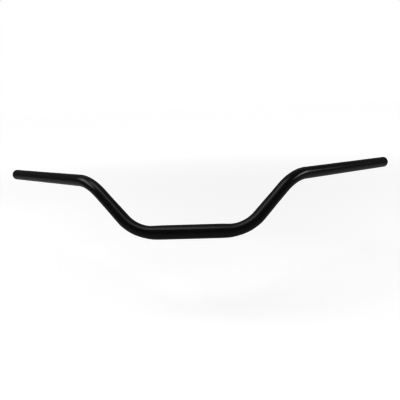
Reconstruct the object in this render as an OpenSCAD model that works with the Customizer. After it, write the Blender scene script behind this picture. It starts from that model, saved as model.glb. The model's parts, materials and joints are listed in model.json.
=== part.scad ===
// Motorcycle handlebar: one bent steel tube, full diameter at the clamp zone and swaged down
// towards the controls, with a threaded insert pressed into each end.
// Frame: origin at the centre of the clamp zone, +X along it towards the rider's left, +Y back
// towards the rider, +Z up, with the bar at its mounted attitude.

/* [Tube] */
// Outside diameter of the clamp zone
clamp_d = 25.4; // [25:0.1:26]
// Outside diameter at the lower bends, part of the way down the swage
lower_bend_d = 23.2; // [22.8:0.1:24]
// Outside diameter of the rest of the tube, which the controls and grips slide over
control_d = 22.2; // [22:0.1:22.4]
// Wall thickness
wall = 2.3; // [1.8:0.1:2.8]
// Radius that the tube loses through each bend, as its wall draws
bend_draw = 0.1; // [0.05:0.05:0.2]
// Chamfer on the outer rim of each end
rim_chamfer = 0.5; // [0.2:0.1:0.8]

/* [Straights] */
// Length of the full-diameter clamp zone
clamp_zone = 100; // [80:1:120]
// Swage from each end of the clamp zone to the lower bend
inner_swage = 14; // [8:1:30]
// Straight of each rise, between its two bends
rise_straight = 68; // [50:1:120]
// Distance up the rise at which the swage ends
outer_swage = 40; // [10:1:45]
// Straight from each upper bend to the end of the tube
control_straight = 288; // [220:1:320]

/* [Bends] */
// Centreline radius of all four bends
bend_r = 79; // [65:1:100]
// Turn of each lower bend
lower_turn = 48.5; // [30:0.5:60]
// Turn of each upper bend
upper_turn = 45; // [20:0.5:60]
// Turn about the rise from the way the lower bend curves to the way the upper bend curves
bend_twist = 120.5; // [100:0.5:140]
// Lean of the two rises back from vertical
lean_back = 30; // [0:1:50]

/* [End inserts] */
// Length of each insert
insert_length = 25; // [15:1:40]
// Depth of the insert's face inside the end of the tube
insert_recess = 2; // [1:0.5:5]
// Minor diameter of the thread, M8 by 1.25
thread_minor_d = 6.8; // [5:0.1:8.5]
// Countersink at the mouth of the thread
thread_mouth_d = 8.8; // [8.6:0.1:10]
// Lead-in chamfer that starts the insert in the tube
lead_in = 1; // [0.5:0.1:2]

/* [Hidden] */
// Black paint and zinc plate
paint = [0.03, 0.03, 0.032];
zinc = [0.62, 0.63, 0.64];
// Length over which a straight necks down to meet a bend
neck = 2;
// Turn by which each end of a bend runs on inside the straight beside it
bend_overlap = 1.2;
// Cutters reach this far past the faces that they cut
past = 1;
clamp_r = clamp_d / 2;
lower_r = lower_bend_d / 2;
control_r = control_d / 2;
bore_r = control_r - wall;
$fn = 96;

// Lays local +Z along the clamp zone, out to the rider's left, with the rise bending to local +X.
module left_half() rotate([-lean_back, 0, 0]) rotate([0, 90, 0]) rotate([0, 0, 180]) children();

module right_half() mirror([1, 0, 0]) left_half() children();

// Moves on from a bend's start, on local +Z, to its end.
module past_bend(turn)
    translate([bend_r, 0, 0]) rotate([0, turn, 0]) translate([-bend_r, 0, 0]) children();

// Moves to the start of the rise's straight.
module at_rise() translate([0, 0, clamp_zone / 2 + inner_swage]) past_bend(lower_turn) children();

// Moves to the start of the upper bend.
module at_upper_bend() at_rise() translate([0, 0, rise_straight]) rotate([0, 0, -bend_twist]) children();

// Moves to the start of the controls' straight.
module at_controls() at_upper_bend() past_bend(upper_turn) children();

// Solid of revolution about local +Z, from the corners of its outline as [radius, height].
module turned(corners) {
    bottom = corners[0][1];
    top = corners[len(corners) - 1][1];
    rotate_extrude() polygon(concat([[0, bottom]], corners, [[0, top]]));
}

// A bend from local +Z towards local +X, slimmer than the straights that it joins.
module bend(r, turn)
    translate([bend_r, 0, 0]) rotate([90, 0, 180]) rotate([0, 0, -bend_overlap])
        rotate_extrude(angle = turn + 2 * bend_overlap)
            translate([bend_r, 0]) circle(r = r - bend_draw);

// A straight's radius where a bend starts, inside the bend's own radius.
function necked(r) = r - 2 * bend_draw;

// The solid bar without its ends, thinner all round by inset.
module bar(inset) {
    middle_h = clamp_zone / 2 + inner_swage;
    clamp = clamp_r - inset;
    lower = lower_r - inset;
    plain = control_r - inset;
    rotate([0, 90, 0]) turned([
        [necked(lower), -middle_h],
        [clamp, -clamp_zone / 2],
        [clamp, clamp_zone / 2],
        [necked(lower), middle_h]
    ]);
    for (side = [0, 1]) mirror([side, 0, 0]) left_half() {
        translate([0, 0, middle_h]) bend(lower, lower_turn);
        at_rise() turned([
            [necked(lower), 0],
            [lower, neck],
            [plain, outer_swage],
            [plain, rise_straight - neck],
            [necked(plain), rise_straight]
        ]);
        at_upper_bend() bend(plain, upper_turn);
    }
}

// The two straights for the controls, solid; end_corners finish their outline at the tube's ends.
module control_straights(inset, end_corners) {
    plain = control_r - inset;
    for (side = [0, 1]) mirror([side, 0, 0]) left_half() at_controls()
        turned(concat([[necked(plain), 0], [plain, neck]], end_corners));
}

module handlebar_tube() {
    rim = [[control_r, control_straight - rim_chamfer], [control_r - rim_chamfer, control_straight]];
    color(paint) difference() {
        union() {
            bar(0);
            control_straights(0, rim);
        }
        union() {
            bar(wall);
            control_straights(wall, [[bore_r, control_straight + past]]);
        }
    }
}

// A turned bush, its face towards local +Z.
module end_insert() {
    mouth_depth = (thread_mouth_d - thread_minor_d) / 2;
    color(zinc)
        at_controls() translate([0, 0, control_straight - insert_recess - insert_length])
            difference() {
                turned([[bore_r - lead_in, 0], [bore_r, lead_in], [bore_r, insert_length]]);
                translate([0, 0, -past]) cylinder(h = insert_length + 2 * past, d = thread_minor_d);
                translate([0, 0, insert_length - mouth_depth])
                    cylinder(h = mouth_depth, d1 = thread_minor_d, d2 = thread_mouth_d);
            }
}

module left_end_insert() left_half() end_insert();

module right_end_insert() right_half() end_insert();

handlebar_tube();
left_end_insert();
right_end_insert();
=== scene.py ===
"""Looks for a bare motorcycle handlebar: a smooth painted tube and two threaded end bushes,
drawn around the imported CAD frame, on a pale floor in soft studio light.
All lengths are in metres, in the CAD's own frame."""
import json
import math

import bmesh
import bpy
from mathutils import Matrix, Quaternion, Vector


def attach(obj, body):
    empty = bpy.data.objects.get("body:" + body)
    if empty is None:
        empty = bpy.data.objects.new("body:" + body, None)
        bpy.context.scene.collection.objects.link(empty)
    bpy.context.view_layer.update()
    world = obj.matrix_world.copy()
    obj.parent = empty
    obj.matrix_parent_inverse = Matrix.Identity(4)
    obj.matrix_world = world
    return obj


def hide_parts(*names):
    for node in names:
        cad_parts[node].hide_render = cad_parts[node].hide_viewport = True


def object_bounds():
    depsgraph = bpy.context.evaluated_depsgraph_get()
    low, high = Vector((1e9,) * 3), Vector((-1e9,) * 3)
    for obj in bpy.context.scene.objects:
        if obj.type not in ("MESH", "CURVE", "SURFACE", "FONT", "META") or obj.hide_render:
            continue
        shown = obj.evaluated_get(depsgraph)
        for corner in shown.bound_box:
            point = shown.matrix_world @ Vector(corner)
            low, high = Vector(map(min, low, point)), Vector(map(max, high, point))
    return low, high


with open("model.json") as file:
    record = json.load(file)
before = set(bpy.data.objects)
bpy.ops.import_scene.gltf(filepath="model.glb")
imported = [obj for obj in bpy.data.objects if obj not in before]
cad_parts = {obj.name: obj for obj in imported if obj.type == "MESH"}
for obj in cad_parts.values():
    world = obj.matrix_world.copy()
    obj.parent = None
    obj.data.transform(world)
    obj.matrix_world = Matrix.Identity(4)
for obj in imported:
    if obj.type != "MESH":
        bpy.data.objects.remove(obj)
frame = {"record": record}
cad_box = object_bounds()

MM = 0.001
ROOT = "root"

# ---- sizes -------------------------------------------------------------------------------------

MOUNTS = {mount["name"]: mount for mount in frame["record"]["mounts"]}


def mount_radius(name):
    return MOUNTS[name]["dims"]["r_mm"] * MM


CLAMP_R = mount_radius("clamp_zone")
CLAMP_HALF = MOUNTS["clamp_zone"]["dims"]["length_mm"] * MM / 2
CONTROL_R = mount_radius("left_grip_seat")
THREAD_MINOR_R = mount_radius("left_end_thread")

# The tube's bending and wall, as the CAD has them
INNER_SWAGE = 14 * MM
BEND_R = 79 * MM
LOWER_TURN = math.radians(48.5)
UPPER_TURN = math.radians(45)
RISE_STRAIGHT = 68 * MM
CONTROL_STRAIGHT = 288 * MM
BEND_TWIST = math.radians(120.5)
LEAN_BACK = math.radians(30)
WALL = 2.3 * MM
BORE_R = CONTROL_R - WALL

# How far the drawn tube may miss the axis of the CAD's end thread
TIP_TOLERANCE = 0.1 * MM

# The swage has two eased steps, and these are distances along the tube from its middle
LOWER_BEND_R = 11.6 * MM
INNER_SWAGE_END = 90 * MM
OUTER_SWAGE_START = 125 * MM
OUTER_SWAGE_END = 180 * MM

# A bend flattens a little in its own plane, and bulges across it by a share of that
LOWER_FLATTENING = 0.03
UPPER_FLATTENING = 0.015
BULGE_SHARE = 0.35
FLATTENING_RAMP = 0.3

# The rims of the tube's ends
RIM_ROUND = 0.5 * MM
RIM_STEPS = 5
BORE_CHAMFER = 0.3 * MM

# The end bushes, with an M8 thread
BUSH_LENGTH = 25 * MM
BUSH_RECESS = 2 * MM
BUSH_LEAD_IN = 1 * MM
BUSH_EDGE = 0.4 * MM
MOUTH_R = 4.4 * MM
THREAD_PITCH = 1.25 * MM
THREAD_DEPTH = 0.6 * MM
TOOTH_SLOPE = 1.35
TOOTH_FLAT = 0.15

# How fine the meshes are
TUBE_SEGMENTS = 72
STRAIGHT_STEP = 6 * MM
BEND_STEP = math.radians(2)
THREAD_SEGMENTS = 48
STEPS_PER_PITCH = 12
TUBE_SHARP_ANGLE = math.radians(40)
BUSH_SHARP_ANGLE = math.radians(35)

# ---- colours -----------------------------------------------------------------------------------

PAINT_DARK = (0.0075, 0.0079, 0.0083, 1)
PAINT_LIGHT = (0.0115, 0.0119, 0.0123, 1)
DUST = (0.12, 0.12, 0.115, 1)
BARE_STEEL = (0.30, 0.29, 0.28, 1)
ZINC_DARK = (0.46, 0.47, 0.49, 1)
ZINC_LIGHT = (0.72, 0.71, 0.67, 1)
# The darker colour the bushes take in their hollows
HOLLOW_DARK = (0.10, 0.095, 0.09, 1)
WHITE = (1, 1, 1, 1)

# ---- stage sizes -------------------------------------------------------------------------------

FLOOR_DROP = 0.15
FLOOR_SIZE = 30
FLOOR_PAPER = (0.70, 0.70, 0.70, 1)
FLOOR_GLOW = 0.15
# What the camera sees of the floor: a paper that takes less shadow, and glows more with distance
SWEEP_PAPER = (0.28, 0.28, 0.28, 1)
SWEEP_START = 0.6
SWEEP_END = 2.6
SWEEP_NEAR_GLOW = 0.52
SWEEP_FAR_GLOW = 0.72

ROOM = (0.45, 0.45, 0.45, 1)
LIGHT_AIM = (0, 0.08, 0.04)
# Hard contrast, as in a catalogue picture
TONE_GAMMA = 0.5

CAMERA_LENS = 40.39
CAMERA_PLACE = (0.0566, -0.7662, 0.2342)
CAMERA_AIM = (0.0132, 0.1, 0.0344)
CAMERA_ROLL = math.radians(-2.455)
CAMERA_NEAR = 0.05
CAMERA_FAR = 50

# ---- the tube's centreline ---------------------------------------------------------------------


def moved(x, y, z):
    return Matrix.Translation((x, y, z))


def turned(angle, axis):
    return Matrix.Rotation(angle, 4, axis)


def bent(angle, direction):
    """The move along a bend of that angle, from local +Z towards the local direction's angle."""
    bend = moved(BEND_R, 0, 0) @ turned(angle, "Y") @ moved(-BEND_R, 0, 0)
    return turned(direction, "Z") @ bend @ turned(-direction, "Z")


def eased(value, start, end):
    """0 before start and 1 after end, with no kink between."""
    share = min(max((value - start) / (end - start), 0), 1)
    return 0.5 - 0.5 * math.cos(math.pi * share)


def swage_radius(run):
    """Outside radius at a distance along the centreline from the middle of the bar."""
    inner = (CLAMP_R - LOWER_BEND_R) * eased(run, CLAMP_HALF, INNER_SWAGE_END)
    outer = (LOWER_BEND_R - CONTROL_R) * eased(run, OUTER_SWAGE_START, OUTER_SWAGE_END)
    return CLAMP_R - inner - outer


def stretches():
    """The bar from its middle to its left end: (length, turn, direction, flattening) each."""
    return [
        (CLAMP_HALF + INNER_SWAGE, 0, 0, 0),
        (BEND_R * LOWER_TURN, LOWER_TURN, 0, LOWER_FLATTENING),
        (RISE_STRAIGHT, 0, 0, 0),
        (BEND_R * UPPER_TURN, UPPER_TURN, -BEND_TWIST, UPPER_FLATTENING),
        (CONTROL_STRAIGHT, 0, 0, 0),
    ]


def stations():
    """Places along the left half: (place, run, bend direction, flattening there) each."""
    place = turned(-LEAN_BACK, "X") @ turned(math.pi / 2, "Y") @ turned(math.pi, "Z")
    run = 0
    found = [(place, 0, 0, 0)]
    for length, turn, direction, flattening in stretches():
        steps = round(turn / BEND_STEP) if turn else round(length / STRAIGHT_STEP)
        for step in range(1, steps + 1):
            share = step / steps
            move = bent(turn * share, direction) if turn else moved(0, 0, length * share)
            squeeze = flattening * eased(min(share, 1 - share), 0, FLATTENING_RAMP)
            found.append((place @ move, run + length * share, direction, squeeze))
        place = found[-1][0]
        run += length
    return found


def left_tip():
    """The place at the middle of the left end, with local +Z pointing out of the tube."""
    return stations()[-1][0]


def check_tip():
    """Stops the script if the drawn tube doesn't end on the axis of the CAD's end thread."""
    mount = MOUNTS["left_end_thread"]
    axis = Vector(mount["axis"])
    offset = Vector(mount["pos_m"]) - left_tip().translation
    if (offset - axis * offset.dot(axis)).length > TIP_TOLERANCE:
        raise ValueError("the drawn tube and the CAD's tube end in different places")


# ---- meshes ------------------------------------------------------------------------------------

def ring(place, radius, direction=0, flattening=0, segments=TUBE_SEGMENTS):
    """A ring of points round a place, flattened along the bend's direction."""
    points = []
    for i in range(segments):
        angle = 2 * math.pi * i / segments
        along = math.cos(angle - direction) ** 2
        r = radius * (1 - flattening * along + flattening * BULGE_SHARE * (1 - along))
        points.append(place @ Vector((r * math.cos(angle), r * math.sin(angle), 0)))
    return points


def mirrored(rings):
    """The same rings on the other side of the bar's middle."""
    return [[Vector((-p.x, p.y, p.z)) for p in points] for points in rings]


def lofted(name, rings):
    """A quad mesh through the rings and from the last back to the first, so that it is closed."""
    count = len(rings[0])
    points = [point for each in rings for point in each]
    faces = []
    for row in range(len(rings)):
        here = row * count
        there = (row + 1) % len(rings) * count
        for i in range(count):
            j = (i + 1) % count
            faces.append((here + i, here + j, there + j, there + i))
    mesh = bpy.data.meshes.new(name)
    mesh.from_pydata(points, [], faces)
    mesh.validate()
    piece = bpy.data.objects.new(name, mesh)
    bpy.context.scene.collection.objects.link(piece)
    write_uvs(piece, rings)
    return piece


def write_uvs(piece, rings):
    """u runs round the ring and v along the rings, both in metres."""
    count = len(rings[0])
    run = 0
    runs = [0]
    for a, b in zip(rings, rings[1:] + rings[:1]):
        run += (b[0] - a[0]).length
        runs.append(run)
    segment_width = math.pi * (rings[0][0] - rings[0][count // 2]).length / count
    layer = piece.data.uv_layers.new(name="surface")
    for face in piece.data.polygons:
        row, i = divmod(face.index, count)
        corners = ((i, row), (i + 1, row), (i + 1, row + 1), (i, row + 1))
        for loop, (around, along) in zip(face.loop_indices, corners):
            layer.data[loop].uv = (around * segment_width, runs[along])


def smooth(piece, sharp_angle):
    """Outward normals, smooth over everything but edges sharper than the angle."""
    mesh = bmesh.new()
    mesh.from_mesh(piece.data)
    bmesh.ops.recalc_face_normals(mesh, faces=mesh.faces)
    mesh.to_mesh(piece.data)
    mesh.free()
    piece.data.shade_smooth()
    piece.data.set_sharp_from_angle(angle=sharp_angle)


def rim_rings(tip):
    """The end of the tube: a rounded outer edge, the flat face and the bore's chamfer."""
    rings = []
    for step in range(RIM_STEPS + 1):
        angle = math.pi / 2 * step / RIM_STEPS
        back = RIM_ROUND * (1 - math.sin(angle))
        rings.append(ring(tip @ moved(0, 0, -back), CONTROL_R - RIM_ROUND * (1 - math.cos(angle))))
    rings.append(ring(tip, BORE_R + BORE_CHAMFER))
    rings.append(ring(tip @ moved(0, 0, -BORE_CHAMFER), BORE_R))
    return rings


def half_rings(inset):
    """Rings from the middle to just short of the left end, all of them thinner by inset."""
    return [
        ring(place, swage_radius(run) - inset, direction, flattening)
        for place, run, direction, flattening in stations()[:-1]
    ]


def build_tube():
    """Outside from the right end to the left end, round the rim, and back through the bore."""
    outside = half_rings(0)
    inside = half_rings(WALL)
    rim = rim_rings(left_tip())
    rings = mirrored(outside[:0:-1]) + outside + rim
    rings += inside[::-1] + mirrored(inside[1:]) + mirrored(rim[::-1])
    piece = lofted("painted_tube", rings)
    smooth(piece, TUBE_SHARP_ANGLE)
    return piece


def thread_radius(height, angle):
    """Inside radius of the bush at a height from its back face: a helical groove and two mouths."""
    phase = (height / THREAD_PITCH - angle / (2 * math.pi)) % 1
    groove = min(max(TOOTH_SLOPE * (1 - abs(2 * phase - 1)) - TOOTH_FLAT, 0), 1)
    mouth = MOUTH_R - min(height, BUSH_LENGTH - height)
    return max(THREAD_MINOR_R + THREAD_DEPTH * groove, mouth)


def thread_ring(base, height):
    points = []
    for i in range(THREAD_SEGMENTS):
        angle = 2 * math.pi * i / THREAD_SEGMENTS
        r = thread_radius(height, angle)
        points.append(base @ Vector((r * math.cos(angle), r * math.sin(angle), height)))
    return points


def bush_rings():
    """The left bush: up its outside, across its face, and down through its thread."""
    base = left_tip() @ moved(0, 0, -BUSH_RECESS - BUSH_LENGTH)
    outline = [
        (MOUTH_R, 0),
        (BORE_R - BUSH_LEAD_IN, 0),
        (BORE_R, BUSH_LEAD_IN),
        (BORE_R, BUSH_LENGTH / 2),
        (BORE_R, BUSH_LENGTH - BUSH_EDGE),
        (BORE_R - BUSH_EDGE, BUSH_LENGTH),
        ((BORE_R + MOUTH_R) / 2, BUSH_LENGTH),
        (MOUTH_R + BUSH_EDGE, BUSH_LENGTH),
    ]
    rings = [ring(base @ moved(0, 0, h), r, segments=THREAD_SEGMENTS) for r, h in outline]
    steps = round(BUSH_LENGTH / THREAD_PITCH * STEPS_PER_PITCH)
    for step in range(steps, 0, -1):
        rings.append(thread_ring(base, BUSH_LENGTH * step / steps))
    return rings


def build_bush(side):
    rings = bush_rings()
    piece = lofted(side + "_threaded_bush", rings if side == "left" else mirrored(rings))
    smooth(piece, BUSH_SHARP_ANGLE)
    return piece


# ---- materials ---------------------------------------------------------------------------------

class Nodes:
    """Short forms for building one material's node tree."""

    def __init__(self, name):
        self.material = bpy.data.materials.new(name)
        self.material.use_nodes = True
        self.tree = self.material.node_tree
        self.shader = self.tree.nodes["Principled BSDF"]

    def put(self, value, socket):
        """Links a node's output to the socket, or sets the socket to a plain value."""
        if isinstance(value, bpy.types.NodeSocket):
            self.tree.links.new(value, socket)
        else:
            socket.default_value = value

    def add(self, kind, inputs=None, **settings):
        node = self.tree.nodes.new(kind)
        for key, value in settings.items():
            setattr(node, key, value)
        for key, value in (inputs or {}).items():
            self.put(value, node.inputs[key])
        return node

    def noise(self, vector, scale, detail=2.0, roughness=0.5):
        values = {"Vector": vector, "Scale": scale, "Detail": detail, "Roughness": roughness}
        return self.add("ShaderNodeTexNoise", values).outputs["Fac"]

    def stretched(self, vector, x, y):
        return self.add("ShaderNodeMapping", {"Vector": vector, "Scale": (x, y, 1)}).outputs[0]

    def remap(self, value, low, high, to_low, to_high):
        values = {"Value": value, "From Min": low, "From Max": high, "To Min": to_low, "To Max": to_high}
        return self.add("ShaderNodeMapRange", values).outputs["Result"]

    def specks(self, vector, scale):
        """Small round spots of 1 on 0, one in each cell."""
        cells = self.add("ShaderNodeTexVoronoi", {"Vector": vector, "Scale": scale})
        return self.remap(cells.outputs["Distance"], 0.03, 0.09, 1, 0)

    def maths(self, operation, a, b):
        return self.add("ShaderNodeMath", {0: a, 1: b}, operation=operation).outputs[0]

    def blend(self, factor, a, b):
        """Colour a where the factor is 0, and colour b where it is 1."""
        return self.add("ShaderNodeMix", {0: factor, 6: a, 7: b}, data_type="RGBA").outputs[2]

    def bump(self, height, strength, distance, under=None):
        values = {"Height": height, "Strength": strength, "Distance": distance}
        if under is not None:
            values["Normal"] = under
        return self.add("ShaderNodeBump", values).outputs["Normal"]

    def place(self):
        return self.add("ShaderNodeTexCoord").outputs["Object"]

    def surface(self):
        return self.add("ShaderNodeUVMap", uv_map="surface").outputs["UV"]

    def edges(self):
        """0.5 on flat faces, more on outer edges and less in hollows."""
        return self.add("ShaderNodeNewGeometry").outputs["Pointiness"]

    def set(self, **inputs):
        for key, value in inputs.items():
            self.put(value, self.shader.inputs[key.replace("_", " ")])


def black_paint():
    """Satin black paint over drawn steel: orange peel, faint draw lines, dust and worn rims."""
    m = Nodes("black_paint")
    place = m.place()
    peel = m.noise(place, 700, detail=1.5)
    waviness = m.noise(place, 120)
    draw_lines = m.noise(m.stretched(m.surface(), 1800, 12), 1, detail=3)
    patches = m.noise(place, 18, detail=4, roughness=0.6)
    dusty = m.remap(m.noise(place, 60), 0.56, 0.66, 0, 1)
    dust = m.maths("MULTIPLY", m.specks(place, 520), dusty)
    broken = m.remap(m.noise(place, 1500, detail=3), 0.45, 0.6, 0, 1)
    bare = m.maths("MULTIPLY", m.remap(m.edges(), 0.56, 0.62, 0, 1), broken)

    paint = m.blend(m.remap(patches, 0.35, 0.65, 0, 1), PAINT_DARK, PAINT_LIGHT)
    dusted = m.blend(m.maths("MULTIPLY", dust, 0.5), paint, DUST)
    colour = m.blend(m.maths("MULTIPLY", bare, 0.6), dusted, BARE_STEEL)
    gloss = m.remap(patches, 0.3, 0.7, 0.22, 0.29)
    streaks = m.remap(draw_lines, 0.3, 0.7, -0.03, 0.04)
    rough_dust = m.maths("MULTIPLY", dust, 0.15)
    roughness = m.maths("ADD", m.maths("ADD", gloss, streaks), rough_dust)
    glancing = m.add("ShaderNodeLayerWeight", {"Blend": 0.5}).outputs["Facing"]
    sheen = m.remap(glancing, 0.6, 0.9, 0.5, 0.15)

    peeled = m.bump(peel, 0.16, 0.14 * MM)
    lined = m.bump(draw_lines, 0.06, 0.08 * MM, peeled)
    speckled = m.bump(dust, 0.10, 0.05 * MM, lined)
    normal = m.bump(waviness, 0.08, 0.5 * MM, speckled)
    m.set(Base_Color=colour, Metallic=m.maths("MULTIPLY", bare, 0.7), IOR=1.55)
    m.set(Roughness=roughness, Normal=normal, Specular_IOR_Level=sheen)
    return m.material


def zinc_plate():
    """Bright zinc over turned steel: rings from the tool, cloudy plating and darker hollows."""
    m = Nodes("zinc_plate")
    tool_rings = m.noise(m.stretched(m.surface(), 30, 9000), 1)
    clouds = m.noise(m.place(), 220, detail=4, roughness=0.6)
    # The colour darkens in the hollows, where the surface curves inward
    hollow_darkening = m.remap(m.edges(), 0.44, 0.49, 0.7, 0)
    colour = m.blend(hollow_darkening, m.blend(clouds, ZINC_DARK, ZINC_LIGHT), HOLLOW_DARK)
    smear = m.remap(clouds, 0.3, 0.7, 0.24, 0.38)
    roughness = m.maths("ADD", smear, m.remap(tool_rings, 0.3, 0.7, -0.06, 0.06))
    normal = m.bump(tool_rings, 0.35, 0.08 * MM)
    m.set(Base_Color=colour, Roughness=roughness, Normal=normal, Metallic=1.0)
    return m.material


def pale_floor():
    """Matt pale paper to the light. To the camera it is a white sweep with faint shadows."""
    m = Nodes("pale_floor")
    from_bar = m.add("ShaderNodeVectorMath", {0: m.place()}, operation="LENGTH").outputs["Value"]
    seen = m.add("ShaderNodeLightPath").outputs["Is Camera Ray"]
    sweep = m.remap(from_bar, SWEEP_START, SWEEP_END, SWEEP_NEAR_GLOW, SWEEP_FAR_GLOW)
    glow = m.maths("ADD", m.maths("MULTIPLY", sweep, seen), FLOOR_GLOW)
    paper = m.blend(seen, FLOOR_PAPER, SWEEP_PAPER)
    m.set(Base_Color=paper, Roughness=0.9, Specular_IOR_Level=0.0)
    m.set(Emission_Color=WHITE, Emission_Strength=glow)
    return m.material


# ---- stage -------------------------------------------------------------------------------------

def build_floor():
    """A wide floor a little below the bar."""
    low = cad_box[0].z - FLOOR_DROP
    half = FLOOR_SIZE / 2
    corners = [(-half, -half, low), (half, -half, low), (half, half, low), (-half, half, low)]
    mesh = bpy.data.meshes.new("floor")
    mesh.from_pydata(corners, [], [(0, 1, 2, 3)])
    floor = bpy.data.objects.new("floor", mesh)
    bpy.context.scene.collection.objects.link(floor)
    floor.data.materials.append(pale_floor())


def build_world():
    """Plain white to the camera, and a dim room to everything else."""
    world = bpy.data.worlds.new("studio")
    world.use_nodes = True
    bpy.context.scene.world = world
    tree = world.node_tree
    rays = tree.nodes.new("ShaderNodeLightPath")
    mix = tree.nodes.new("ShaderNodeMix")
    mix.data_type = "RGBA"
    mix.inputs[6].default_value = ROOM
    mix.inputs[7].default_value = WHITE
    tree.links.new(rays.outputs["Is Camera Ray"], mix.inputs[0])
    tree.links.new(mix.outputs[2], tree.nodes["Background"].inputs["Color"])


def aimed(obj, place, target):
    """Puts a light or camera at a place, looking at the target."""
    obj.location = place
    obj.rotation_mode = "QUATERNION"
    obj.rotation_quaternion = (Vector(target) - Vector(place)).to_track_quat("-Z", "Y")
    bpy.context.scene.collection.objects.link(obj)


def soft_box(name, place, width, height, level):
    """A soft light aimed at the middle of the bar; level is its brightness, with white as 1."""
    light = bpy.data.lights.new(name, "AREA")
    light.shape = "RECTANGLE"
    light.size = width
    light.size_y = height
    light.energy = level * math.pi * width * height
    obj = bpy.data.objects.new(name, light)
    obj.visible_camera = False
    aimed(obj, place, LIGHT_AIM)
    return obj


def build_lights():
    """A lamp overhead, a window on each side, and three lights behind that only the gloss reflects."""
    soft_box("overhead", place=(-0.25, -0.22, 1.40), width=1.2, height=0.9, level=3.3)
    soft_box("left_window", place=(-1.30, -0.19, 0.96), width=1.2, height=0.8, level=4.6)
    soft_box("right_window", place=(1.60, -0.12, 0.66), width=0.9, height=0.5, level=8.0)
    for light in (
        soft_box("back_window", place=(0, 3.2, 0.50), width=3.5, height=0.6, level=0.7),
        soft_box("back_wall", place=(-0.15, 1.55, 2.2), width=3.5, height=2.0, level=0.5),
        soft_box("back_strip", place=(0, 2.6, 0.08), width=3.0, height=0.3, level=2.0),
    ):
        light.visible_diffuse = False


def build_camera():
    data = bpy.data.cameras.new("camera")
    data.lens = CAMERA_LENS
    data.clip_start = CAMERA_NEAR
    data.clip_end = CAMERA_FAR
    camera = bpy.data.objects.new("camera", data)
    aimed(camera, CAMERA_PLACE, CAMERA_AIM)
    camera.rotation_quaternion = camera.rotation_quaternion @ Quaternion((0, 0, 1), CAMERA_ROLL)
    bpy.context.scene.camera = camera


def build_stage():
    build_floor()
    build_world()
    build_lights()
    build_camera()
    view = bpy.context.scene.view_settings
    view.view_transform = "Standard"
    view.gamma = TONE_GAMMA


# ---- the handlebar -----------------------------------------------------------------------------

def finished(piece, material, node):
    """Gives the piece its material, and puts it in place of its CAD node."""
    piece.data.materials.append(material)
    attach(piece, ROOT)
    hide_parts(node)


check_tip()
finished(build_tube(), black_paint(), "handlebar_tube")
zinc = zinc_plate()
for side in ("left", "right"):
    finished(build_bush(side), zinc, side + "_end_insert")
build_stage()
